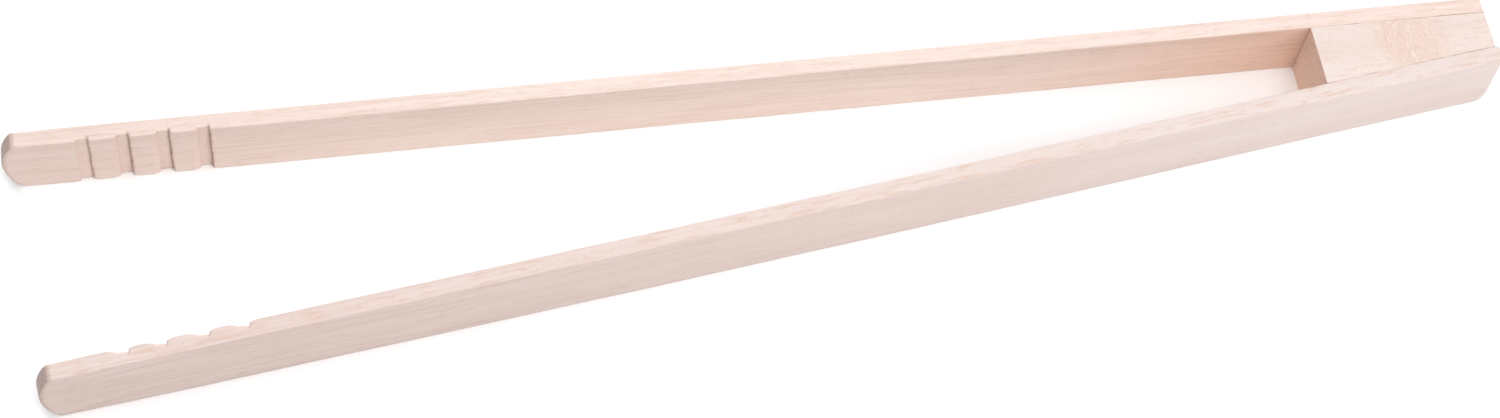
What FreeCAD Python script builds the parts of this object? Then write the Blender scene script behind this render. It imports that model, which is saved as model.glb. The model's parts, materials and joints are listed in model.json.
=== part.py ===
"""Wooden print tongs: two flat strips glued to a tapered block, with four grooves across each jaw.

The tongs lie on their narrow edges. +X runs from the jaws to the butt end, +Y from the front arm to
the rear arm and +Z is up. The origin is the middle of the bounding box, at its foot. Lengths are in
millimetres.

Each arm is one strip that bends like a leaf spring. Solids can't bend, so an arm is made as two of
them, which meet where its free length turns when the tongs are squeezed: a fixed end on the block,
and a free end with the jaw.

Everything on one side is drawn in that arm's own frame: x from the jaw's tip towards the butt end,
y = 0 on the strip's inner face, and z up.
"""

import FreeCAD
import Part
import Sketcher

import os
import re

REAR = 1
FRONT = -1
SIDE_NAMES = {REAR: "rear", FRONT: "front"}

SHEET = "Dimensions"
DIMENSIONS = [
    # alias, millimetres or degrees, what it is
    ("arm_length", 418.0, "each arm, from its tip to its butt end"),
    ("strip_width", 20.0, "the broad side, which stands upright"),
    ("strip_thickness", 5.0, "the thin side"),
    ("edge_round", 0.4, "radius along the outer long edges"),
    ("spread_angle", 3.85, "between each arm and the centre line"),
    ("jaw_opening", 68.2, "between the inner faces, at the tips"),
    ("rear_arm_lead", 0.2, "the rear arm's tip is this far ahead of the front arm's"),
    ("bend_from_tip", 306.0, "along the arm, to the line about which its free end turns"),
    ("bend_gap", 0.05, "between an arm's two solids"),
    ("block_length", 52.3, "along the rear arm"),
    ("glue_thickness", 0.15, "between an arm and the block"),
    ("glue_inset", 0.25, "from the glue's edge to the block's edge"),
    ("tip_radius", 15.0, "of the arc that rounds the tip"),
    ("tip_centre_height", 11.0, "of that arc's centre, above the foot"),
    ("tip_edge_round", 0.3, "radius along that arc's two edges"),
    ("groove_start", 20.1, "from the tip to the first groove"),
    ("groove_pitch", 10.85, "from one groove to the next"),
    ("groove_width", 3.8, "at its mouth"),
    ("groove_wall_lean", 0.3, "each wall leans in by this much"),
    ("groove_depth", 1.4, "from the inner face to the floor"),
    ("groove_count", 4, "on each jaw"),
    ("tooth_round", 0.6, "radius on the corners between a groove and the inner face"),
    ("butt_foot_round", 3.5, "radius along the butt end's lower edge"),
    ("butt_corner_round", 1.5, "radius down the butt end's outer corner"),
]
ALIASES = re.compile(r"\b(" + "|".join(alias for alias, _, _ in DIMENSIONS) + r")\b")

# Formulas of the sheet's names. The front tip's place is given in the rear arm's frame.
HALF_LENGTH = "((arm_length * cos(spread_angle) + strip_thickness * sin(spread_angle) + rear_arm_lead) / 2)"
TIP_X = {REAR: f"-{HALF_LENGTH}", FRONT: f"rear_arm_lead - {HALF_LENGTH}"}
FRONT_TIP_X = "(jaw_opening * sin(spread_angle) + rear_arm_lead * cos(spread_angle))"
FRONT_TIP_Y = "(rear_arm_lead * sin(spread_angle) - jaw_opening * cos(spread_angle))"
BLOCK_START = "(arm_length - block_length)"
BEND_FIXED_SIDE = "(bend_from_tip + bend_gap / 2)"
BEND_FREE_SIDE = "(bend_from_tip - bend_gap / 2)"

ORIGIN = -1
X_AXIS = -1
Y_AXIS = -2
START_POINT, END_POINT, CENTRE_POINT = 1, 2, 3

TOUCHING = 1e-4


def make_sheet(doc):
    """The driving dimensions: a note, and a number with an alias."""
    sheet = doc.addObject("Spreadsheet::Sheet", SHEET)
    for row, (alias, value, note) in enumerate(DIMENSIONS, start=1):
        sheet.set(f"A{row}", note)
        sheet.set(f"B{row}", str(value))
        sheet.setAlias(f"B{row}", alias)
    doc.recompute()


def bind(thing, prop, formula):
    """Ties a property to a formula of the sheet's names."""
    thing.setExpression(prop, ALIASES.sub(rf"<<{SHEET}>>.\1", formula))


def new_body(doc, label):
    body = doc.addObject("PartDesign::Body", label)
    body.Label = label
    return body


def new_sketch(body, name, plane):
    """An empty sketch on one of the body's own origin planes."""
    sketch = body.newObject("Sketcher::SketchObject", name)
    support = next(feature for feature in body.Origin.OriginFeatures if feature.Role == plane)
    sketch.AttachmentSupport = [(support, "")]
    sketch.MapMode = "FlatFace"
    return sketch


def hold(sketch, edge, point, x=None, y=None):
    """Ties one or both coordinates of an edge's point to formulas; a formula of "0" puts it on the axis."""
    here = sketch.Geometry[edge].Center if point == CENTRE_POINT else sketch.getPoint(edge, point)
    for kind, axis, formula, now in (("DistanceX", Y_AXIS, x, here.x), ("DistanceY", X_AXIS, y, here.y)):
        if formula == "0":
            sketch.addConstraint(Sketcher.Constraint("PointOnObject", edge, point, axis))
        elif formula is not None:
            index = sketch.addConstraint(Sketcher.Constraint(kind, ORIGIN, 1, edge, point, now))
            name = f"{kind}_{index}"
            sketch.renameConstraint(index, name)
            bind(sketch, f"Constraints.{name}", formula)


def join(sketch, edge, next_edge):
    """The end of one edge is the start of the next."""
    sketch.addConstraint(Sketcher.Constraint("Coincident", edge, END_POINT, next_edge, START_POINT))


def draw_polygon(sketch, corners):
    """Straight edges through the corners, each a rough (x, y) and the two formulas that hold it."""
    points = [FreeCAD.Vector(x, y, 0) for x, y, _, _ in corners]
    for start, end in zip(points, points[1:] + points[:1]):
        sketch.addGeometry(Part.LineSegment(start, end), False)
    for edge in range(len(corners)):
        join(sketch, edge, (edge + 1) % len(corners))
    for edge, (_, _, x, y) in enumerate(corners):
        hold(sketch, edge, START_POINT, x, y)


def pad(body, sketch, name, length, reverse=False):
    feature = body.newObject("PartDesign::Pad", name)
    feature.Profile = sketch
    feature.Reversed = reverse
    bind(feature, "Length", length)
    return feature


def round_edges(body, name, base, radius, wanted):
    """A fillet on the base's edges for which wanted(edge) is true."""
    names = [f"Edge{i}" for i, edge in enumerate(base.Shape.Edges, start=1) if wanted(edge)]
    if not names:
        raise RuntimeError(f"{body.Label}: {name} found no edges")
    feature = body.newObject("PartDesign::Fillet", name)
    feature.Base = (base, names)
    bind(feature, "Radius", radius)
    body.Document.recompute()
    return feature


def round_butt_foot(body, base, end):
    """Rounds the lower edge of the butt end, which is at x = end."""
    def is_butt_foot(edge):
        box = edge.BoundBox
        return box.XMin > end - TOUCHING and box.ZMax < base.Shape.BoundBox.ZMin + TOUCHING

    return round_edges(body, "ButtFoot", base, "butt_foot_round", is_butt_foot)


def place_with_arm(body, side):
    """Moves a body from its arm's frame, whose origin is the tip's inner foot, to the frame of the tongs."""
    body.Placement = FreeCAD.Placement(FreeCAD.Vector(), FreeCAD.Rotation(FreeCAD.Vector(0, 0, 1), 1))
    bind(body, "Placement.Base.x", TIP_X[side])
    bind(body, "Placement.Base.y", f"{side} * jaw_opening / 2")
    bind(body, "Placement.Rotation.Angle", f"{-side} * spread_angle")


def along_arm(edge, outer, thickness):
    """True for a straight edge that runs along the arm, on its outer face."""
    box = edge.BoundBox
    return box.XLength > thickness and box.YLength < TOUCHING and abs(box.YMin - outer) < TOUCHING


def make_upright(doc, label, name, side, reach, heights, thickness, outward=True):
    """A flat board that stands on edge against the plane y = 0 of its arm's frame."""
    body = new_body(doc, label)
    sketch = new_sketch(body, f"{name}Outline", "XZ_Plane")
    near, far = reach
    low, high = heights
    draw_polygon(sketch, [(10, 5, near, low), (90, 5, far, low), (90, 25, far, high), (10, 25, near, high)])
    board = pad(body, sketch, f"{name}Pad", thickness, reverse=(side == REAR) == outward)
    doc.recompute()
    return body, board


def make_fixed_end(doc, side, size):
    """The arm's butt end, glued to the block, as far as the line where the arm bends."""
    label = f"{SIDE_NAMES[side]}_arm_fixed_end"
    reach = (BEND_FIXED_SIDE, "arm_length")
    body, board = make_upright(doc, label, "Strip", side, reach, ("0", "strip_width"), "strip_thickness")
    outer = side * size["strip_thickness"]

    def is_butt_corner(edge):
        box = edge.BoundBox
        on_end = box.XMin > size["arm_length"] - TOUCHING
        return on_end and box.YLength < TOUCHING and abs(box.YMin - outer) < TOUCHING

    foot = round_butt_foot(body, board, size["arm_length"])
    corner = round_edges(body, "ButtCorner", foot, "butt_corner_round", is_butt_corner)
    round_edges(body, "LongEdges", corner, "edge_round",
                lambda edge: along_arm(edge, outer, size["strip_thickness"]))
    place_with_arm(body, side)
    return body


def make_free_end(doc, side, size):
    """The arm's long free end: a strip with a rounded tip, and grooves across the jaw's inner face."""
    body = new_body(doc, f"{SIDE_NAMES[side]}_arm_free_end")
    outline = new_sketch(body, "StripOutline", "XZ_Plane")
    low, high, tip = FreeCAD.Vector(4, 0, 0), FreeCAD.Vector(4, 20, 0), FreeCAD.Vector(0, 10, 0)
    far_low, far_high = FreeCAD.Vector(90, 0, 0), FreeCAD.Vector(90, 20, 0)
    foot = outline.addGeometry(Part.LineSegment(low, far_low), False)
    bend = outline.addGeometry(Part.LineSegment(far_low, far_high), False)
    top = outline.addGeometry(Part.LineSegment(far_high, high), False)
    nose = outline.addGeometry(Part.Arc(high, tip, low), False)
    for edge, next_edge in ((foot, bend), (bend, top), (top, nose), (nose, foot)):
        join(outline, edge, next_edge)
    hold(outline, bend, START_POINT, BEND_FREE_SIDE, "0")
    hold(outline, bend, END_POINT, BEND_FREE_SIDE, "strip_width")
    hold(outline, nose, START_POINT, y="strip_width")
    hold(outline, nose, END_POINT, y="0")
    hold(outline, nose, CENTRE_POINT, "tip_radius", "tip_centre_height")
    radius = outline.addConstraint(Sketcher.Constraint("Radius", nose, 12))
    outline.renameConstraint(radius, "NoseRadius")
    bind(outline, "Constraints.NoseRadius", "tip_radius")
    strip = pad(body, outline, "StripPad", "strip_thickness", reverse=side == REAR)
    doc.recompute()

    section = new_sketch(body, "GrooveSection", "XY_Plane")
    floor = f"{side} * groove_depth"
    draw_polygon(section, [
        (20, 0, "groove_start", "0"),
        (24, 0, "groove_start + groove_width", "0"),
        (23, side, "groove_start + groove_width - groove_wall_lean", floor),
        (21, side, "groove_start + groove_wall_lean", floor),
    ])
    groove = body.newObject("PartDesign::Pocket", "Groove")
    groove.Profile = section
    groove.Type = "ThroughAll"
    groove.Reversed = True
    doc.recompute()
    grooves = body.newObject("PartDesign::LinearPattern", "Grooves")
    grooves.Originals = [groove]
    grooves.Direction = (section, ["H_Axis"])
    bind(grooves, "Length", "groove_pitch * (groove_count - 1)")
    bind(grooves, "Occurrences", "groove_count")
    body.Tip = grooves
    doc.recompute()
    one_groove = strip.Shape.Volume - groove.Shape.Volume
    all_grooves = strip.Shape.Volume - grooves.Shape.Volume
    if one_groove <= 0 or abs(all_grooves - size["groove_count"] * one_groove) > 0.01 * one_groove:
        raise RuntimeError(f"{body.Label}: the grooves did not cut the jaw")

    jaw_end = size["groove_start"] + size["groove_count"] * size["groove_pitch"]

    def is_tooth_corner(edge):
        box = edge.BoundBox
        upright = box.XLength < TOUCHING and box.ZLength > size["strip_width"] - TOUCHING
        return upright and abs(box.YMin) < TOUCHING and box.XMax < jaw_end

    teeth = round_edges(body, "TeethRounds", grooves, "tooth_round", is_tooth_corner)
    outer = side * size["strip_thickness"]
    edges = round_edges(body, "LongEdges", teeth, "edge_round",
                        lambda edge: along_arm(edge, outer, size["strip_thickness"]))
    round_edges(body, "TipEdges", edges, "tip_edge_round",
                lambda edge: isinstance(edge.Curve, Part.Circle)
                and abs(edge.Curve.Radius - size["tip_radius"]) < TOUCHING)
    place_with_arm(body, side)
    return body


def make_block(doc):
    """The tapered block between the arms. Both its ends are sawn square to the rear arm."""
    body = new_body(doc, "wedge_block")
    sketch = new_sketch(body, "BlockOutline", "XY_Plane")

    def front_side(x):
        glue = "glue_thickness / cos(2 * spread_angle)"
        return f"{FRONT_TIP_Y} + ({x} - {FRONT_TIP_X}) * tan(2 * spread_angle) + {glue}"

    draw_polygon(sketch, [
        (10, -1, BLOCK_START, "-glue_thickness"),
        (10, -20, BLOCK_START, front_side(BLOCK_START)),
        (60, -14, "arm_length", front_side("arm_length")),
        (60, -1, "arm_length", "-glue_thickness"),
    ])
    block = pad(body, sketch, "BlockPad", "strip_width")
    doc.recompute()
    round_butt_foot(body, block, block.Shape.BoundBox.XMax)
    place_with_arm(body, REAR)
    return body


def make_glue_line(doc, side):
    """The film of glue between an arm and the block, a little short of the block's edges."""
    if side == REAR:
        start, end = BLOCK_START, "arm_length"
    else:
        start, end = (f"(({x} - {FRONT_TIP_X}) / cos(2 * spread_angle))" for x in (BLOCK_START, "arm_length"))
    reach = (f"{start} + glue_inset", f"{end} - glue_inset")
    heights = ("glue_inset", "strip_width - glue_inset")
    label = f"{SIDE_NAMES[side]}_glue_line"
    body, film = make_upright(doc, label, "Film", side, reach, heights, "glue_thickness", outward=False)
    round_butt_foot(body, film, film.Shape.BoundBox.XMax)
    place_with_arm(body, side)
    return body


def check(doc, bodies):
    """Stops if anything failed to build, before a file is written."""
    for thing in doc.Objects:
        if "Invalid" in thing.State or "Error" in thing.State:
            raise RuntimeError(f"{thing.Name} failed: {thing.State}")
    for body in bodies:
        if body.Shape.isNull() or not body.Shape.isValid() or len(body.Shape.Solids) != 1:
            raise RuntimeError(f"{body.Label} is not one valid solid")


def main():
    doc = FreeCAD.newDocument("PrintTongs")
    make_sheet(doc)
    size = {alias: value for alias, value, _ in DIMENSIONS}
    bodies = [make_block(doc)]
    for side in (FRONT, REAR):
        bodies += [make_glue_line(doc, side), make_fixed_end(doc, side, size), make_free_end(doc, side, size)]
    doc.recompute()
    check(doc, bodies)
    os.makedirs("parts", exist_ok=True)
    for body in bodies:
        body.Shape.exportStep(f"parts/{body.Label}.step")
        box = body.Shape.BoundBox
        low = f"{box.XMin:9.3f} {box.YMin:8.3f} {box.ZMin:7.3f}"
        high = f"{box.XMax:9.3f} {box.YMax:8.3f} {box.ZMax:7.3f}"
        print(f"{body.Label:22} {body.Shape.Volume:10.2f} mm3  {low} to {high}")


main()
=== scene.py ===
"""Looks for the wooden print tongs: two strips with grooved jaws, the tapered block, and their glue.

Each arm is one continuous strip here, across its joint. The strips, the block and the glue are drawn in
millimetres in an arm's own frame (s from the tip to the butt end, y outwards from the inner face, z up) and
then put in the frame of the tongs.
"""

import json
import math

import bpy
import numpy as np
from mathutils import Matrix, Quaternion, Vector


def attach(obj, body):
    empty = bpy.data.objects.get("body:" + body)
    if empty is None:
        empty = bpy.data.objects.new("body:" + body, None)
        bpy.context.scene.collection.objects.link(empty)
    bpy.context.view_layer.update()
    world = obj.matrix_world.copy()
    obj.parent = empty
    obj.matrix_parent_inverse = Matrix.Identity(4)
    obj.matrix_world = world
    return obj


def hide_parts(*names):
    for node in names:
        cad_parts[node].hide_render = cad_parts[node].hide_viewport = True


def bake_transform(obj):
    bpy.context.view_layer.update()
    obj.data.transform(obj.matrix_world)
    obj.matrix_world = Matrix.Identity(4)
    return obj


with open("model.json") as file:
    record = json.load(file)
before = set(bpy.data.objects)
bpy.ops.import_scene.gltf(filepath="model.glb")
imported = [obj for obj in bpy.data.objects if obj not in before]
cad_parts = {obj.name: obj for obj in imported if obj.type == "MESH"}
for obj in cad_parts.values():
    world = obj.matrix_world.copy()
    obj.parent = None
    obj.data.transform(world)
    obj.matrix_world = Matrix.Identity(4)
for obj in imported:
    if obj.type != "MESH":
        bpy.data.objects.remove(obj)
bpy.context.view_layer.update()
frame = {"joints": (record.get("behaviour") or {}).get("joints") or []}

MM = 0.001
REAR = 1
FRONT = -1
SIDE_NAMES = {REAR: "rear", FRONT: "front"}

# The strips, in millimetres.
ARM_LENGTH = 418.0
STRIP_WIDTH = 20.0
STRIP_THICKNESS = 5.0
SPREAD = math.radians(3.85)
BEND_FROM_TIP = 306.0

# Their rounded long edges, the softer ones of the tip, and the span in which one turns into the other.
EDGE_ROUND = 0.4
TIP_EDGE_ROUND = 0.7
SOFT_TIP = (2, 12)

# How they stray from straight and even: each one's bow, the lean of its top edge, how far its jaw is shifted
# along it, and a slight ripple. The last two have the spans in which they fade away.
BOW = {REAR: 0.15, FRONT: 0.85}
TOP_LEAN = {REAR: 0.0, FRONT: 0.6}
JAW_SHIFT = {REAR: -0.3, FRONT: 0.6}
JAW_SHIFT_FADES = (60, 200)
RIPPLE = 0.04
RIPPLE_PERIOD = 90.0
RIPPLE_FADES = (340, 366)

# The tips: their arc and the height of its centre, the size and curve of the eased corners above and below
# it, and how far along the strip all this still shows.
TIP_RADIUS = 15.0
TIP_CENTRE_HEIGHT = 11.0
TIP_CORNER = 2.5
TIP_CORNER_CURVE = 0.07
TIP_REACH = 18

# The grooves, and the span of an arm that holds them. Their walls lean by WALL_LEAN and wander by up to about
# WALL_WANDER, and the wood beside them goes along, less and less as far as WALL_WANDER_REACH.
JAW_SPAN = (16, 70)
GROOVE_START = {REAR: 20.1, FRONT: 20.6}
GROOVE_SLIPS = {REAR: (0, 0, 0, 0), FRONT: (0.6, -0.1, 0.1, 0)}
GROOVE_PITCH = 10.85
GROOVE_WIDTH = 3.7
GROOVE_DEPTHS = {REAR: (0.9, 1.4, 1.35, 1.3), FRONT: (1.5, 1.5, 1.45, 1.5)}
WALL_LEAN = 0.25
WALL_WANDER = 0.16
WALL_WANDER_REACH = 1.4
# The width of the shadow painted in one corner of each groove.
GROOVE_SHADOW_WIDTH = 0.38

# Each as it is at the foot and at the top edge: the share of a groove's depth, how much deeper its floor is
# at the butt side, and by how much and how far from its corner a tooth's crest falls away. Left is the tip
# side.
CUT = (1.05, 0.68)
FLOOR_TILT = {REAR: (0.1, 0.1), FRONT: (0.3, 0.5)}
TOOTH_LEFT_DROP = {REAR: (0.45, 0.3), FRONT: (0.45, 0.5)}
TOOTH_LEFT_REACH = {REAR: (1.3, 1.6), FRONT: (1.3, 2.2)}
TOOTH_RIGHT_DROP = {REAR: (0.85, 0.18), FRONT: (0.85, 0.8)}
TOOTH_RIGHT_REACH = {REAR: (2.5, 1.6), FRONT: (2.5, 3.0)}

# On the rear jaw, the flats before the first groove and after the last fall away by only this share of it.
FLAT_BEFORE = 0.15
FLAT_AFTER = 0.3

# The butt end, and how far along the strip its rounding still shows.
BLOCK_LENGTH = 52.3
BLOCK_START = ARM_LENGTH - BLOCK_LENGTH
BLOCK_FRONT_LEAN = 1.1
BUTT_LEAN = 0.9
BUTT_FOOT_ROUND = 3.5
BUTT_CORNER_ROUND = 1.5
BUTT_REACH = 10

# The glue: its thickness, where it starts behind the block's front, how much shorter than the joint it is,
# and how far its upper and lower edges waver.
GLUE = 0.15
GLUE_SET_BACK = 0.6
GLUE_SHORTFALL = 1.5
GLUE_WAVER = 0.03

# The meshes: the steps of a rounded edge, the angle from which a corner is crisp, an arm's grid lines as
# spans with their steps, and the lines beside each groove's wall, measured from the wall into the groove.
CORNER_STEPS = 4
SHARP_ANGLE = math.radians(32)
ARM_LINES = (
    (1.2, 18, 1.2),
    (18, 60, 0.5),
    (60, BLOCK_START, 3.0),
    (BLOCK_START, ARM_LENGTH - 12, 3.0),
    (ARM_LENGTH - 12, ARM_LENGTH, 0.8),
)
WALL_LINES = (-0.6, -0.3, -0.12, 0, WALL_LEAN / 2, WALL_LEAN, WALL_LEAN + 0.15, WALL_LEAN + 0.4)


# ---------------------------------------------------------------- formulas


def smooth(x, low, high):
    """0 at low and beyond it, 1 at high and beyond it, and a smooth step between. Low may be the larger."""
    x = np.clip((x - low) / (high - low), 0, 1)
    return x * x * (3 - 2 * x)


def near(distance, reach):
    """1 at no distance, and down to 0 at the reach, ever more slowly."""
    return np.clip(1 - distance / reach, 0, 1) ** 2


def arc_fall(distance, radius):
    """How far an arc has fallen at a distance from its highest point."""
    return radius - np.sqrt(radius**2 - distance**2)


def wander(x, seed, period):
    """A smooth irregular wave of about -1 to 1, the same on every run."""
    total = 0.0
    for k, size in enumerate((0.5, 0.3, 0.2), start=1):
        total = total + size * np.sin(2 * math.pi * k * 1.37 * x / period + seed * (1.7 + k) + k * k)
    return total


# ---------------------------------------------------------------- meshes


def lines_across(length, edge, inner):
    """Grid lines over a length whose two ends are rounded: close together there, and as given between."""
    angles = np.linspace(math.pi / 4, 0, CORNER_STEPS)
    corner = edge * (1 - np.tan(angles))
    inner = inner[(inner > edge + 0.05) & (inner < length - edge - 0.05)]
    return np.concatenate([corner, inner, length - corner[::-1]])


def thinned(values, gap):
    """Sorted values with none closer to the last one kept than the gap."""
    kept = []
    for value in np.sort(values):
        if not kept or value - kept[-1] >= gap:
            kept.append(value)
    return np.array(kept)


def rounded_box(size, lines, edge):
    """A box with a vertex wherever its grid lines cross: its square points, its rounded ones, its faces."""
    counts = [len(line) for line in lines]
    grid = np.indices(counts).reshape(3, -1).T
    on_surface = ((grid == 0) | (grid == np.array(counts) - 1)).any(axis=1)
    grid = grid[on_surface]
    number = np.full(counts, -1)
    number[tuple(grid.T)] = np.arange(len(grid))
    square = np.stack([np.asarray(line)[grid[:, axis]] for axis, line in enumerate(lines)], axis=1)
    core = np.clip(square, edge, np.array(size) - edge)
    out = square - core
    reach = np.linalg.norm(out, axis=1, keepdims=True)
    rounded = core + edge * out / np.maximum(reach, 1e-9)
    faces = []
    for axis in range(3):
        for end in (0, -1):
            n = np.take(number, end, axis=axis)
            quads = np.stack([n[:-1, :-1], n[1:, :-1], n[1:, 1:], n[:-1, 1:]], axis=-1).reshape(-1, 4)
            outward = (end == -1) == (axis != 1)
            faces.append(quads if outward else quads[:, ::-1])
    return square, rounded, np.concatenate(faces)


def arm_axes(side):
    """An arm's own axes in the frame, as columns: along it to the butt end, outwards, and up."""
    c, s = math.cos(SPREAD), math.sin(SPREAD)
    return np.array([[c, s, 0], [-side * s, side * c, 0], [0, 0, 1]])


def arm_origin(side):
    """The tip's inner foot, found from the joint, which is on the inner face."""
    joint = next(j for j in frame["joints"] if j["child"] == f"{SIDE_NAMES[side]}_arm")
    pivot = np.array(joint["pos_m"]) / MM
    pivot[2] = 0
    return pivot - arm_axes(side) @ np.array([BEND_FROM_TIP, 0, 0])


def front_tip():
    """The front arm's origin, in the rear arm's frame."""
    return (arm_origin(FRONT) - arm_origin(REAR)) @ arm_axes(REAR)


def add_piece(name, points, faces, side, wood_offset=(0, 0, 0)):
    """A mesh object from points in an arm's frame, which it also keeps as each point's place in its wood."""
    axes = arm_axes(side)
    placed = (points @ axes.T + arm_origin(side)) * MM
    if side == FRONT:
        faces = faces[:, ::-1]
    mesh = bpy.data.meshes.new(name)
    mesh.from_pydata(placed.tolist(), [], faces.tolist())
    mesh.update()
    mesh.shade_smooth()
    mesh.set_sharp_from_angle(angle=SHARP_ANGLE)
    piece = bpy.data.objects.new(name, mesh)
    bpy.context.scene.collection.objects.link(piece)
    wood = mesh.attributes.new("wood_place", "FLOAT_VECTOR", "POINT")
    wood.data.foreach_set("vector", (points + np.array(wood_offset)).astype(np.float32).ravel())

    # The grooves' walls face along the arm too, but only its ends get the look of end grain.
    normals = np.zeros(len(points) * 3, np.float32)
    mesh.vertices.foreach_get("normal", normals)
    facing = np.abs(normals.reshape(-1, 3) @ axes)
    in_jaw = (points[:, 0] > JAW_SPAN[0]) & (points[:, 0] < JAW_SPAN[1])
    keep_value(piece, "end_grain", smooth(facing[:, 0], 0.3, 0.92) * ~in_jaw)
    keep_value(piece, "top_or_foot", smooth(facing[:, 2], 0.4, 0.9))
    return piece


def keep_value(piece, name, values):
    """Stores a number for each point, for the materials."""
    made = piece.data.attributes.new(name, "FLOAT", "POINT")
    made.data.foreach_set("value", values.astype(np.float32))


def round_foot(s, z, end):
    """Brings points near the butt end in, along its rounded lower edge and down its slight lean."""
    foot = np.clip(BUTT_FOOT_ROUND - z, 0, BUTT_FOOT_ROUND)
    brought_in = arc_fall(foot, BUTT_FOOT_ROUND) + BUTT_LEAN * (1 - z / STRIP_WIDTH)
    return s - brought_in * near(end - s, BUTT_REACH)


# ---------------------------------------------------------------- the arms


def groove_walls(side):
    """Where each groove starts and ends along the arm."""
    starts = [GROOVE_START[side] + k * GROOVE_PITCH + slip for k, slip in enumerate(GROOVE_SLIPS[side])]
    return [(start, start + GROOVE_WIDTH) for start in starts]


def ease(distance, drop, reach):
    """How far a tooth's crest falls at a distance from its corner, and 0 on that corner's other side."""
    return np.where(distance >= 0, drop * near(distance, reach), 0)


def jaw_depth(s, z, side):
    """How far the inner face lies below the strip's flat face, in the grooves and on the crowned teeth.

    Also 1 where a tooth's butt side is rounded off by wear and gets a painted highlight, down to 0 on its
    flat.
    """

    def by_height(foot_and_top):
        foot, top = foot_and_top
        return foot + (top - foot) * z / STRIP_WIDTH

    cut, tilt = by_height(CUT), by_height(FLOOR_TILT[side])
    left_drop, left_reach = by_height(TOOTH_LEFT_DROP[side]), by_height(TOOTH_LEFT_REACH[side])
    right_drop, right_reach = by_height(TOOTH_RIGHT_DROP[side]), by_height(TOOTH_RIGHT_REACH[side])
    depth, crest_highlight = np.zeros_like(s), np.zeros_like(s)
    walls = groove_walls(side)
    for k, (start, end) in enumerate(walls):
        floor = cut * GROOVE_DEPTHS[side][k] + tilt * (s - start) / GROOVE_WIDTH
        inside = np.clip(np.minimum((s - start) / WALL_LEAN, (end - s) / WALL_LEAN), 0, 1)
        before = ease(start - s, right_drop, right_reach)
        after = ease(s - end, left_drop, left_reach)
        if side == REAR:
            before = before * (FLAT_BEFORE if k == 0 else 1)
            after = after * (FLAT_AFTER if k == len(walls) - 1 else 1)
        for part in (floor * inside, before, after):
            depth = np.maximum(depth, part)
        crest_highlight = np.maximum(crest_highlight, smooth(before, 0.02, 0.25))
    return depth, crest_highlight


def groove_shadow(s, side):
    """1 in the corner of each groove's floor and its wall nearest the butt end, where a shadow is painted,
    and 0 away from it.
    """
    corners = [end - 0.75 * WALL_LEAN for _, end in groove_walls(side)]
    return np.max([np.exp(-((s - corner) / GROOVE_SHADOW_WIDTH) ** 2) for corner in corners], axis=0)


def arm_stations(side):
    """Grid lines along an arm: close at the grooves, and close enough elsewhere for it to bend smoothly."""
    coarse = np.concatenate([np.arange(*span) for span in ARM_LINES])
    offsets = np.array(WALL_LINES)
    near_walls = np.concatenate([lines for start, end in groove_walls(side)
                                 for lines in (start + offsets, end - offsets)])
    clear = np.array([s for s in coarse if min(abs(s - w) for w in near_walls) > 0.25])
    return thinned(np.concatenate([clear, near_walls]), 0.04)


def soften_edges(square, rounded, side):
    """The tip is sanded soft, the long edges less so, and the glued inner edges are nearly sharp."""
    s = square[:, 0]
    glued = smooth(s, BLOCK_START - 1, BLOCK_START + 1) * (rounded[:, 1] < EDGE_ROUND)
    sharpness = (1 - EDGE_ROUND / TIP_EDGE_ROUND) * smooth(s, *SOFT_TIP)
    sharpness = np.maximum(sharpness, glued * (0.85 + 0.1 * wander(s, side, 11.0)))
    return rounded + sharpness[:, None] * (square - rounded)


def cut_grooves(s, y, z, side):
    """Thins the strip from its inner face, with walls that wander a little as they go up.

    Also 1 where the wood is freshly cut, 0.6 where a highlight is painted on the teeth's rounded butt sides,
    and down to 0 elsewhere.
    """
    depth, crest_highlight = jaw_depth(s, z, side)
    fresh_and_highlight = np.maximum(smooth(depth, 0.4, 0.8), 0.6 * crest_highlight)
    y = y + depth * (1 - y / STRIP_THICKNESS)
    for k, wall in enumerate(w for pair in groove_walls(side) for w in pair):
        share = np.clip(1 - np.abs(s - wall) / WALL_WANDER_REACH, 0, 1) * (1 - y / STRIP_THICKNESS)
        slow, quick = wander(z, 3 * k + side, 13.0), wander(z, 5 * k - side, 3.1)
        s = s + share * WALL_WANDER * (slow + 0.45 * quick)
    return s, y, fresh_and_highlight


def shape_ends(s, y, z):
    """The tip's arc and corners, and the butt end's rounded foot and eased outer corner."""
    near_tip = near(s, TIP_REACH)
    height = np.clip(np.abs(z - TIP_CENTRE_HEIGHT), 0, TIP_RADIUS)
    s = s + arc_fall(height, TIP_RADIUS) * near_tip
    past_corner = np.clip(np.maximum(z - STRIP_WIDTH, -z) + TIP_CORNER, 0, TIP_CORNER)
    s = s + TIP_CORNER_CURVE * past_corner**2 * near_tip
    outer_corner = np.clip(y - STRIP_THICKNESS + BUTT_CORNER_ROUND, 0, BUTT_CORNER_ROUND)
    eased = arc_fall(outer_corner, BUTT_CORNER_ROUND) * near(ARM_LENGTH - s, BUTT_REACH)
    return round_foot(s, z, ARM_LENGTH) - eased


def stray(s, y, z, side):
    """A strip is never quite straight or even."""
    s = s + JAW_SHIFT[side] * (1 - smooth(s, *JAW_SHIFT_FADES))
    free = np.clip(s / BLOCK_START, 0, 1)
    y = y + (BOW[side] - TOP_LEAN[side] * z / STRIP_WIDTH) * 4 * free * (1 - free)
    y = y + RIPPLE * wander(s, 2 + side, RIPPLE_PERIOD) * (1 - smooth(s, *RIPPLE_FADES))
    return s, y


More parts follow.
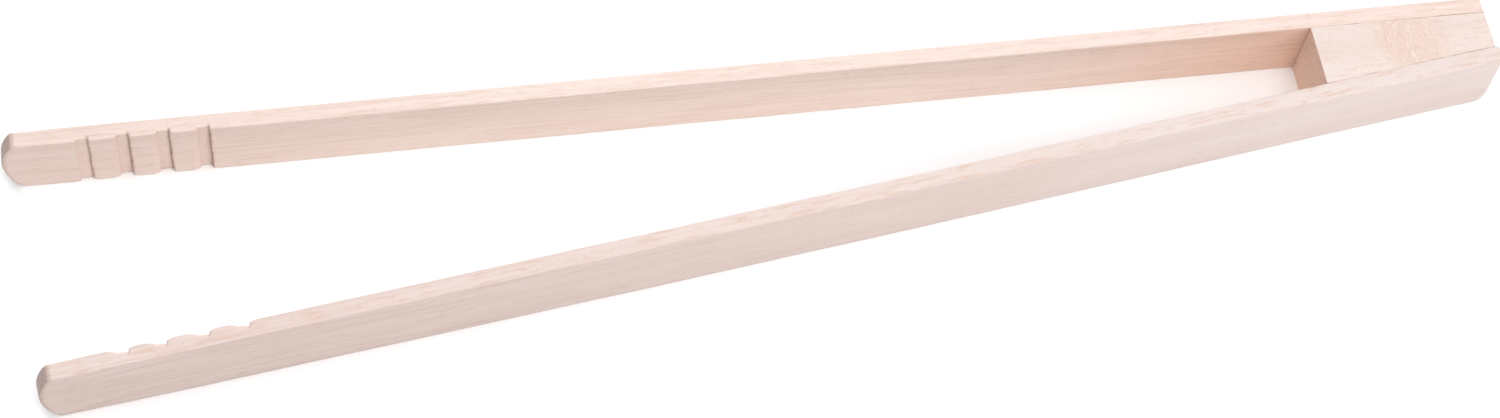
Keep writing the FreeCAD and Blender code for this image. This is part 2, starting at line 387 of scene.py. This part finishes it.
def make_arm(side):
    """One strip from its rounded, grooved jaw to its butt end beside the block."""
    size = (ARM_LENGTH, STRIP_THICKNESS, STRIP_WIDTH)
    lines = (lines_across(ARM_LENGTH, TIP_EDGE_ROUND, arm_stations(side)),
             lines_across(STRIP_THICKNESS, TIP_EDGE_ROUND, np.arange(0.8, STRIP_THICKNESS, 0.7)),
             lines_across(STRIP_WIDTH, TIP_EDGE_ROUND, np.arange(0.8, STRIP_WIDTH, 0.5)))
    square, rounded, faces = rounded_box(size, lines, TIP_EDGE_ROUND)
    s, y, z = soften_edges(square, rounded, side).T
    on_inner_face = y < 1
    shadowed_corners = groove_shadow(s, side)
    s, y, fresh_and_highlight = cut_grooves(s, y, z, side)
    s = shape_ends(s, y, z)
    s, y = stray(s, y, z, side)

    name = f"{SIDE_NAMES[side]}_arm_strip"
    piece = add_piece(name, np.stack([s, y, z], axis=1), faces, side, (0, 40 * side, 17 * side))
    # A painted shade near the tip.
    keep_value(piece, "tip_shade", smooth(square[:, 0], TIP_SHADE_REACH, 0))
    # A painted shadow in one corner of each groove.
    keep_value(piece, "groove_shadow", shadowed_corners * on_inner_face)
    # Freshly cut wood, and a painted highlight on the teeth's rounded butt sides.
    keep_value(piece, "fresh_cut_and_highlight", fresh_and_highlight * on_inner_face)
    # A painted warm shade on the inner face near the block.
    keep_value(piece, "painted_corner_shade", smooth(s, *CORNER_SHADE_BEGINS) * on_inner_face)
    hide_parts(f"{SIDE_NAMES[side]}_arm_fixed_end", f"{SIDE_NAMES[side]}_arm_free_end")
    return piece


def bend_arm(piece, side):
    """Bakes the strip's transform into its mesh. Nothing bends it here."""
    axes, origin = arm_axes(side), arm_origin(side)

    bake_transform(piece)


# ---------------------------------------------------------------- the block and the glue


def front_arm_line(s):
    """The y, in the rear arm's frame, of the front arm's inner face at a distance s along the rear arm."""
    tip = front_tip()
    return tip[1] + (s - tip[0]) * math.tan(2 * SPREAD)


def make_block():
    """The tapered block: its ends are sawn nearly square to the rear arm, and lean a little.

    It starts as a box of a nominal width, which is then fitted to the taper between the two arms.
    """
    edge = 0.12
    nominal_width = 19.0
    size = (BLOCK_LENGTH, nominal_width, STRIP_WIDTH)
    lines = (lines_across(BLOCK_LENGTH, edge, np.arange(1, BLOCK_LENGTH, 1.0)),
             lines_across(nominal_width, edge, np.arange(0.5, nominal_width, 1.0)),
             lines_across(STRIP_WIDTH, edge, np.arange(0.5, STRIP_WIDTH, 0.5)))
    _, points, faces = rounded_box(size, lines, edge)
    z = points[:, 2]
    front_lean = BLOCK_FRONT_LEAN * (z / STRIP_WIDTH - 0.5) * (1 - points[:, 0] / BLOCK_LENGTH) ** 2
    s = round_foot(points[:, 0] + BLOCK_START + front_lean, z, ARM_LENGTH)
    front = front_arm_line(s) + GLUE / math.cos(2 * SPREAD)
    y = -GLUE + (front + GLUE) * (1 - points[:, 1] / nominal_width)
    piece = add_piece("tapered_block", np.stack([s, y, z], axis=1), faces, REAR, (0, 90, 60))
    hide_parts("wedge_block")
    return piece


def make_glue(side):
    """The thin film of glue, which stops unevenly just short of the wood's edges."""
    start, end = BLOCK_START, ARM_LENGTH
    if side == FRONT:
        start, end = ((s - front_tip()[0]) / math.cos(2 * SPREAD) for s in (start, end))
    length = end - start - GLUE_SHORTFALL
    start = start + GLUE_SET_BACK
    edge = 0.03
    size = (length, GLUE, STRIP_WIDTH)
    lines = (lines_across(length, edge, np.arange(0.5, length, 0.6)),
             lines_across(GLUE, edge, np.array([GLUE / 2])),
             lines_across(STRIP_WIDTH, edge, np.arange(0.5, STRIP_WIDTH, 0.5)))
    _, points, faces = rounded_box(size, lines, edge)
    s = round_foot(points[:, 0] + start, points[:, 2], start + length)
    y = points[:, 1] - GLUE
    middle = STRIP_WIDTH / 2
    shrink = GLUE_WAVER + GLUE_WAVER * wander(s, 4 + side, 9.0)
    z = middle + (points[:, 2] - middle) * (1 - shrink / middle)
    piece = add_piece(f"{SIDE_NAMES[side]}_glue_seam", np.stack([s, y, z], axis=1), faces, side)
    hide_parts(f"{SIDE_NAMES[side]}_glue_line")
    return piece


# ---------------------------------------------------------------- materials

# What differs from one piece of beech to the next: its shift in the wood's patterns, the lean of its growth
# rings in radians, its two tones, its tints at the jaws, in the middle and at the butt end, how strongly the
# fibres show at the jaws and at the butt end, how strongly the rays show on the narrow faces, and for the
# block the span of a patch where the rays lie in the top face and make a mottled figure.
BOARDS = {
    "beech_rear": {
        "shift": (0, 0, 0),
        "ring_tilt": 0.35,
        "tones": ((0.88, 0.717, 0.625, 1), (0.862, 0.69, 0.598, 1)),
        "tints": ((1.0, 0.985, 0.98, 1), (1.045, 1.05, 1.045, 1), (1.02, 1.005, 1.0, 1)),
        "streaks": (2.1, 1.9),
        "smears": 0.55,
    },
    "beech_front": {
        "shift": (130, 11, 23),
        "ring_tilt": -0.5,
        "tones": ((0.83, 0.677, 0.593, 1), (0.80, 0.64, 0.558, 1)),
        "tints": ((0.97, 0.96, 0.97, 1), (0.985, 0.99, 1.0, 1), (0.995, 1.025, 1.055, 1)),
        "streaks": (2.3, 0.1),
        "smears": 0.95,
    },
    "beech_block": {
        "shift": (57, 31, 5),
        "ring_tilt": 1.2,
        "tones": ((0.84, 0.71, 0.63, 1), (0.82, 0.67, 0.59, 1)),
        "tints": ((1, 1, 1, 1), (1, 1, 1, 1), (1, 1, 1, 1)),
        "streaks": (0.6, 0.6),
        "smears": 0.55,
        "figure": (384.5, 403.0),
    },
}

# The lean of that patch's ends across the block, and where the block's middle is across its wood.
FIGURE_LEAN = 0.25
BLOCK_MIDDLE_ACROSS = 82.0

# What all wood colours are multiplied by.
REFLECTANCE = 0.83

# The spans along an arm in which its tints change, its end grain's tones change, and its inner face gets its
# painted warm shade near the block, and how far a painted shade reaches behind the tip.
TINT_CHANGES = ((40, 200), (200, 350))
END_TONES_CHANGE = (150, 250)
CORNER_SHADE_BEGINS = (275, 370)
TIP_SHADE_REACH = 3.2

# Colours in the wood.
LATE_WOOD = (0.64, 0.43, 0.33, 1)
DARK_FIBRE = (0.55, 0.38, 0.30, 1)
LIGHT_FIBRE = (0.95, 0.86, 0.79, 1)
RAY_DASH = (0.50, 0.31, 0.23, 1)
RAY_SMEAR = (0.76, 0.555, 0.44, 1)
RAY_SPARK = (0.62, 0.40, 0.30, 1)
FIGURE_SPECKLE = (0.74, 0.55, 0.45, 1)
FIGURE_BASE = (0.80, 0.60, 0.475, 1)
FIGURE_DARK = (0.73, 0.49, 0.37, 1)
FIGURE_LIGHT = (0.92, 0.79, 0.70, 1)
# A painted shade near the tips, which face away from the light.
TIP_SHADE = (0.50, 0.36, 0.28, 1)
END_RINGS = (0.50, 0.32, 0.24, 1)
# The paler colour of freshly cut wood, also painted on the teeth's rounded butt sides as a highlight.
FRESH_CUT_AND_HIGHLIGHT = (0.93, 0.74, 0.64, 1)
TORN_FIBRE = (0.74, 0.53, 0.43, 1)
# A shadow painted dark brown in one corner of each groove.
PAINTED_GROOVE_SHADOW = (0.33, 0.17, 0.115, 1)
# A painted warm shade of the corner between the arms and the block.
CORNER_SHADE_TINT = (1.02, 0.90, 0.81, 1)

# End grain, between its pores and in them. The tips' tones are darker than the butt end's, partly as painted
# shade, since the tips face away from the light.
TIP_TONES = ((0.53, 0.42, 0.365, 1), (0.375, 0.275, 0.218, 1))
SAWN_TONES = ((0.91, 0.66, 0.525, 1), (0.76, 0.52, 0.39, 1))

# Dried glue where the joint is tight and where it is open, and the floor's two shades.
GLUE_TONES = ((0.68, 0.55, 0.475, 1), (0.31, 0.19, 0.13, 1))
FLOOR_TONES = ((0.95, 0.94, 0.915, 1), (0.97, 0.96, 0.935, 1))


class Graph:
    """A material's node tree, built with short calls."""

    def __init__(self, name):
        self.material = bpy.data.materials.new(name)
        self.material.use_nodes = True
        self.tree = self.material.node_tree
        self.tree.nodes.clear()

    def node(self, kind, inputs=None, **settings):
        made = self.tree.nodes.new(kind)
        for key, value in settings.items():
            setattr(made, key, value)
        for key, value in (inputs or {}).items():
            if isinstance(value, bpy.types.NodeSocket):
                self.tree.links.new(value, made.inputs[key])
            else:
                made.inputs[key].default_value = value
        return made

    def math(self, operation, a, b=0.0, c=0.0):
        return self.node("ShaderNodeMath", {0: a, 1: b, 2: c}, operation=operation).outputs[0]

    def product(self, first, *others):
        for other in others:
            first = self.math("MULTIPLY", first, other)
        return first

    def scaled(self, vector, scale, shift=(0, 0, 0)):
        """The vector times a scale for each axis, plus a shift."""
        inputs = {0: vector, 1: scale, 2: shift}
        return self.node("ShaderNodeVectorMath", inputs, operation="MULTIPLY_ADD").outputs[0]

    def noise(self, vector, scale, detail=2.0, roughness=0.5, distortion=0.0):
        made = self.node("ShaderNodeTexNoise", {
            "Vector": self.scaled(vector, scale), "Scale": 1.0, "Detail": detail,
            "Roughness": roughness, "Distortion": distortion})
        return made.outputs["Fac"]

    def value(self, name):
        return self.node("ShaderNodeAttribute", attribute_name=name).outputs["Fac"]

    def wood_place(self):
        """Each point's place in the wood, in millimetres."""
        return self.node("ShaderNodeAttribute", attribute_name="wood_place").outputs["Vector"]

    def dashes(self, vector, scale, radius, rarity):
        """1 on small spindles strewn at random; a higher rarity leaves more of them out."""
        slow = self.scaled(vector, (0.12, 0.12, 0.12))
        bend = self.node("ShaderNodeTexNoise", {"Vector": slow, "Scale": 1.0}).outputs["Color"]
        bend = self.scaled(bend, (1.6, 1.6, 1.6))
        bent = self.node("ShaderNodeVectorMath", {0: self.scaled(vector, scale), 1: bend}, operation="ADD")
        cells = self.node("ShaderNodeTexVoronoi", {
            "Vector": bent.outputs[0], "Scale": 1.0, "Randomness": 1.0})
        chance = self.node("ShaderNodeSeparateColor", {0: cells.outputs["Color"]}).outputs[0]
        spindle = self.remap(cells.outputs["Distance"], radius, radius * 0.4)
        return self.product(spindle, self.remap(chance, rarity, 1.0))

    def remap(self, value, low, high, to_low=0.0, to_high=1.0, smooth_step=True):
        made = self.node("ShaderNodeMapRange", {
            "Value": value, "From Min": low, "From Max": high, "To Min": to_low, "To Max": to_high})
        made.interpolation_type = "SMOOTHSTEP" if smooth_step else "LINEAR"
        return made.outputs["Result"]

    def mix(self, factor, a, b, blend="MIX"):
        made = self.node("ShaderNodeMix", data_type="RGBA", blend_type=blend)
        for socket, value in ((made.inputs[0], factor), (made.inputs[6], a), (made.inputs[7], b)):
            if isinstance(value, bpy.types.NodeSocket):
                self.tree.links.new(value, socket)
            else:
                socket.default_value = value
        return made.outputs[2]

    def finish(self, **inputs):
        shader = self.node("ShaderNodeBsdfPrincipled", {k.replace("_", " "): v for k, v in inputs.items()})
        self.node("ShaderNodeOutputMaterial", {"Surface": shader.outputs[0]})
        return self.material


def growth_rings(g, place, ring_tilt):
    """1 in the dark late wood of each ring. The rings are nearly flat across so small a strip."""
    normal = (0.0, math.cos(ring_tilt), math.sin(ring_tilt))
    depth = g.node("ShaderNodeVectorMath", {0: place, 1: normal}, operation="DOT_PRODUCT").outputs["Value"]
    wobble = g.noise(place, (0.012, 0.12, 0.12), detail=1.0)
    ring = g.math("FRACT", g.math("MULTIPLY_ADD", wobble, 3.2, g.product(depth, 0.42)))
    return g.product(g.remap(ring, 0.55, 0.97), g.remap(ring, 1.0, 0.97))


def add_fibres(g, colour, fibre, fine, strength):
    """Long thin streaks, lighter and darker."""
    streak = g.math("ADD", g.product(fibre, 0.65), g.product(fine, 0.35))
    dark = g.product(g.remap(streak, 0.50, 0.72, 0.0, 0.25), strength)
    light = g.product(g.remap(streak, 0.48, 0.30, 0.0, 0.22), strength)
    colour = g.mix(dark, colour, DARK_FIBRE)
    return g.mix(light, colour, LIGHT_FIBRE)


def add_top_rays(g, colour, place, on_top, smears):
    """Rays seen from the side: long peach-coloured smears on the narrow faces, and small sparks."""
    smear = g.noise(place, (0.11, 0.85, 0.85), detail=3.0, roughness=0.65, distortion=0.6)
    smear = g.product(g.remap(smear, 0.50, 0.66), on_top)
    colour = g.mix(g.product(smear, smears), colour, RAY_SMEAR)
    sparks = g.dashes(place, (1 / 3.6, 1 / 0.8, 1 / 0.8), 0.34, 0.35)
    return g.mix(g.product(sparks, on_top, 0.36), colour, RAY_SPARK)


def add_figure(g, colour, place, along, across, on_top, figure):
    """The block's mottled patch, with ragged ends that lean across it, and specks all over its top."""
    low, high = figure
    ragged = g.noise(place, (0.3, 0.3, 0.3), detail=4.0, roughness=0.65)
    ragged = g.math("MULTIPLY_ADD", ragged, 14.0, along)
    ragged = g.math("SUBTRACT", ragged, 7.0 + FIGURE_LEAN * BLOCK_MIDDLE_ACROSS)
    ragged = g.math("MULTIPLY_ADD", across, FIGURE_LEAN, ragged)
    patch = g.product(g.remap(ragged, low - 2.5, low + 2.5), g.remap(ragged, high + 4, high - 4), on_top)
    rays = g.noise(place, (0.85, 0.30, 0.5), detail=4.0, roughness=0.68, distortion=2.2)
    speckle = g.noise(place, (2.4, 0.5, 0.8), detail=3.0, roughness=0.7, distortion=0.8)
    colour = g.mix(g.product(g.remap(speckle, 0.50, 0.66, 0.0, 0.34), on_top), colour, FIGURE_SPECKLE)
    colour = g.mix(g.product(patch, 0.60), colour, FIGURE_BASE)
    colour = g.mix(g.product(patch, g.remap(rays, 0.48, 0.66, 0.0, 0.6)), colour, FIGURE_DARK)
    return g.mix(g.product(patch, g.remap(rays, 0.47, 0.32, 0.0, 0.6)), colour, FIGURE_LIGHT)


def add_end_grain(g, colour, place, along, end_grain, late_wood):
    """End grain drinks in more, and shows its pores. The sanded tips are darker than the sawn butt end,
    partly as painted shade where they face away from the light, and a painted shade reaches a little behind
    each tip.
    """
    pores = g.noise(place, (0.6, 5.0, 5.0), detail=2.0, roughness=0.7)
    to_butt = g.remap(along, *END_TONES_CHANGE)
    end_tones = [g.mix(to_butt, tip, sawn) for tip, sawn in zip(TIP_TONES, SAWN_TONES)]
    uneven = g.noise(place, (0.35, 2.2, 2.2), detail=3.0, roughness=0.6)
    frayed = g.math("MULTIPLY_ADD", uneven, 0.9, g.math("SUBTRACT", end_grain, 0.45))
    # A painted shade, uneven, near the tip.
    tip_shaded = g.math("ADD", g.value("tip_shade"), g.math("SUBTRACT", uneven, 0.5))
    colour = g.mix(g.remap(tip_shaded, 0.50, 0.95, 0.0, 0.45), colour, TIP_SHADE)
    end_colour = g.mix(g.remap(pores, 0.35, 0.7), *end_tones)
    end_colour = g.mix(g.product(late_wood, 0.2), end_colour, END_RINGS)
    return g.mix(g.remap(frayed, 0.2, 0.8), colour, end_colour)


def add_groove_marks(g, colour, place):
    """The grooves are freshly cut and paler, with torn fibres. The teeth's rounded butt sides get a painted
    highlight, and a shadow is painted brown in one corner of each groove.
    """
    fresh_and_highlight = g.value("fresh_cut_and_highlight")
    # Paler fresh cuts, and a painted highlight on the teeth's rounded butt sides.
    colour = g.mix(g.product(fresh_and_highlight, 0.75), colour, FRESH_CUT_AND_HIGHLIGHT)
    torn = g.noise(place, (0.8, 2.0, 2.6), detail=3.0, roughness=0.7)
    colour = g.mix(g.product(fresh_and_highlight, g.remap(torn, 0.48, 0.68, 0.0, 0.5)), colour, TORN_FIBRE)
    # A painted shadow, uneven, in each groove's corner nearest the butt end.
    painted_shadow = g.noise(place, (0.9, 1.0, 3.0), detail=2.0)
    painted_shadow = g.product(g.value("groove_shadow"), g.remap(painted_shadow, 0.3, 0.6, 0.55, 1.0))
    return g.mix(g.product(painted_shadow, 0.7), colour, PAINTED_GROOVE_SHADOW)


def add_tints(g, colour, along, on_side, tints):
    """The board's own tints along its length, a painted warm shade on the inner faces near the block, and
    REFLECTANCE.
    """
    tint = tints[0]
    for span, next_tint in zip(TINT_CHANGES, tints[1:]):
        tint = g.mix(g.remap(along, *span), tint, next_tint)
    colour = g.mix(1.0, colour, tint, blend="MULTIPLY")
    colour = g.mix(g.product(g.value("painted_corner_shade"), on_side), colour, CORNER_SHADE_TINT, blend="MULTIPLY")
    return g.mix(1.0, colour, (REFLECTANCE, REFLECTANCE, REFLECTANCE, 1), blend="MULTIPLY")


def beech(name, shift, ring_tilt, tones, tints, streaks, smears, figure=None):
    """Planed beech: fine fibres along the strip, soft growth rings, ray flecks and end grain. See BOARDS."""
    g = Graph(name)
    own_place = g.wood_place()
    place = g.scaled(own_place, (1, 1, 1), shift)
    along, across, _ = g.node("ShaderNodeSeparateXYZ", {0: own_place}).outputs
    end_grain = g.value("end_grain")
    on_top = g.value("top_or_foot")
    on_side = g.math("SUBTRACT", 1.0, g.math("MAXIMUM", end_grain, on_top))

    # Broad drifts of colour along the board.
    drift = g.noise(place, (0.018, 0.16, 0.16), detail=2.0)
    colour = g.mix(g.remap(drift, 0.35, 0.68), *tones)

    # Rings and fibres, which show less on the top, and least where there is a figure.
    strength = g.remap(along, 0, ARM_LENGTH, *streaks, smooth_step=False)
    strength = g.product(strength, g.math("MULTIPLY_ADD", on_top, -0.75 if figure else -0.2, 1.0))
    late_wood = growth_rings(g, place, ring_tilt)
    colour = g.mix(g.product(late_wood, 0.08, strength), colour, LATE_WOOD)
    fibre = g.noise(place, (0.035, 1.5, 1.5), detail=5.0, roughness=0.62)
    fine = g.noise(place, (0.30, 6.5, 6.5), detail=2.0, roughness=0.6)
    colour = add_fibres(g, colour, fibre, fine, strength)

    # Rays seen end on: short dark dashes on the broad faces.
    dashes = g.dashes(place, (1 / 5.5, 1 / 0.55, 1 / 0.55), 0.30, 0.45)
    colour = g.mix(g.product(dashes, on_side, 0.42), colour, RAY_DASH)

    colour = add_top_rays(g, colour, place, on_top, smears)
    if figure:
        colour = add_figure(g, colour, place, along, across, on_top, figure)
    colour = add_end_grain(g, colour, place, along, end_grain, late_wood)
    colour = add_groove_marks(g, colour, place)
    colour = add_tints(g, colour, along, on_side, tints)

    roughness = g.remap(fibre, 0.3, 0.7, 0.50, 0.62)
    relief = g.math("ADD", g.product(fine, 0.6), g.product(dashes, -0.25))
    bump = g.node("ShaderNodeBump", {"Height": relief, "Strength": 0.25, "Distance": 0.00005})
    return g.finish(Base_Color=colour, Roughness=roughness, Normal=bump.outputs[0], IOR=1.45,
                    Specular_IOR_Level=0.35)


def dried_glue():
    """Pale where the joint is tight, and browner towards the butt end."""
    g = Graph("dried_glue")
    place = g.wood_place()
    blotch = g.noise(place, (0.16, 0.5, 0.5), detail=3.0)
    along = g.node("ShaderNodeSeparateXYZ", {0: place}).outputs[0]
    open_joint = g.math("ADD", blotch, g.remap(along, BLOCK_START, ARM_LENGTH, -0.06, 0.14))
    colour = g.mix(g.remap(open_joint, 0.46, 0.66), *GLUE_TONES)
    return g.finish(Base_Color=colour, Roughness=g.remap(blotch, 0.3, 0.7, 0.45, 0.7))


def paper_floor():
    g = Graph("paper_floor")
    place = g.node("ShaderNodeTexCoord").outputs["Object"]
    tooth = g.noise(place, (900, 900, 900), detail=2.0)
    colour = g.mix(g.remap(tooth, 0.3, 0.7), *FLOOR_TONES)
    return g.finish(Base_Color=colour, Roughness=g.remap(tooth, 0.3, 0.7, 0.85, 0.95))


# ---------------------------------------------------------------- the studio

# The camera, in metres and degrees, with its lens in millimetres.
CAMERA_PLACE = (-0.1777, -0.4701, 0.7824)
CAMERA_AZIMUTH = -19.97
CAMERA_ELEVATION = 57.91
CAMERA_ROLL = 8.14
CAMERA_LENS = 79.9

# The soft lights, each with its place and size in metres, and its watts.
LIGHTS = {
    "overhead": ((0.25, 0.1, 1.5), (1.6, 1.2), 16.2),
    "front": ((0.2, -0.9, 1.1), (0.6, 0.6), 7.7),
    "low_right": ((0.5, -0.55, 0.35), (0.4, 0.3), 2.1),
    "left": ((-0.9, -0.1, 0.5), (0.6, 0.5), 3.7),
    "back": ((0.1, 0.9, 0.6), (0.8, 0.5), 5.3),
}
LIGHT_AIM = (0.05, 0, 0)
LIGHT_COLOUR = (0.98, 1.0, 1.05)
ROOM_LIGHT = 0.036


def make_floor():
    bpy.ops.mesh.primitive_plane_add(size=12, location=(0, 0, 0))
    floor = bpy.context.object
    floor.name = "floor"
    floor.data.materials.append(paper_floor())


def make_camera():
    """A long lens above the front arm, turned to the right and rolled a little."""
    azimuth, elevation = math.radians(CAMERA_AZIMUTH), math.radians(CAMERA_ELEVATION)
    data = bpy.data.cameras.new("camera")
    data.lens = CAMERA_LENS
    data.sensor_width = 36
    data.clip_start, data.clip_end = 0.05, 20
    camera = bpy.data.objects.new("camera", data)
    bpy.context.scene.collection.objects.link(camera)
    flat = math.cos(elevation)
    back = Vector((math.sin(azimuth) * flat, -math.cos(azimuth) * flat, math.sin(elevation)))
    turn = (-back).to_track_quat("-Z", "Y") @ Quaternion((0, 0, 1), math.radians(CAMERA_ROLL))
    camera.matrix_world = Matrix.LocRotScale(Vector(CAMERA_PLACE), turn, None)
    bpy.context.scene.camera = camera


def make_light(name, place, size, watts):
    data = bpy.data.lights.new(name, "AREA")
    data.shape = "RECTANGLE"
    data.size, data.size_y = size
    data.energy = watts
    data.color = LIGHT_COLOUR
    light = bpy.data.objects.new(name, data)
    bpy.context.scene.collection.objects.link(light)
    direction = Vector(LIGHT_AIM) - Vector(place)
    light.matrix_world = Matrix.LocRotScale(Vector(place), direction.to_track_quat("-Z", "Y"), None)


def make_room():
    """A weak even light from all round, and the standard view of colours."""
    world = bpy.data.worlds.new("soft_room")
    world.use_nodes = True
    background = world.node_tree.nodes["Background"]
    background.inputs["Color"].default_value = (*LIGHT_COLOUR, 1)
    background.inputs["Strength"].default_value = ROOM_LIGHT
    bpy.context.scene.world = world
    bpy.context.scene.view_settings.view_transform = "Standard"


def main():
    woods = {name: beech(name, **board) for name, board in BOARDS.items()}
    for side in (REAR, FRONT):
        arm = make_arm(side)
        arm.data.materials.append(woods[f"beech_{SIDE_NAMES[side]}"])
        bend_arm(arm, side)
    block = make_block()
    block.data.materials.append(woods["beech_block"])
    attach(block, "grip_block")
    glue = dried_glue()
    for side in (REAR, FRONT):
        seam = make_glue(side)
        seam.data.materials.append(glue)
        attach(seam, "grip_block")
    make_floor()
    make_camera()
    for name, (place, size, watts) in LIGHTS.items():
        make_light(name, place, size, watts)
    make_room()
    bpy.context.view_layer.update()


main()
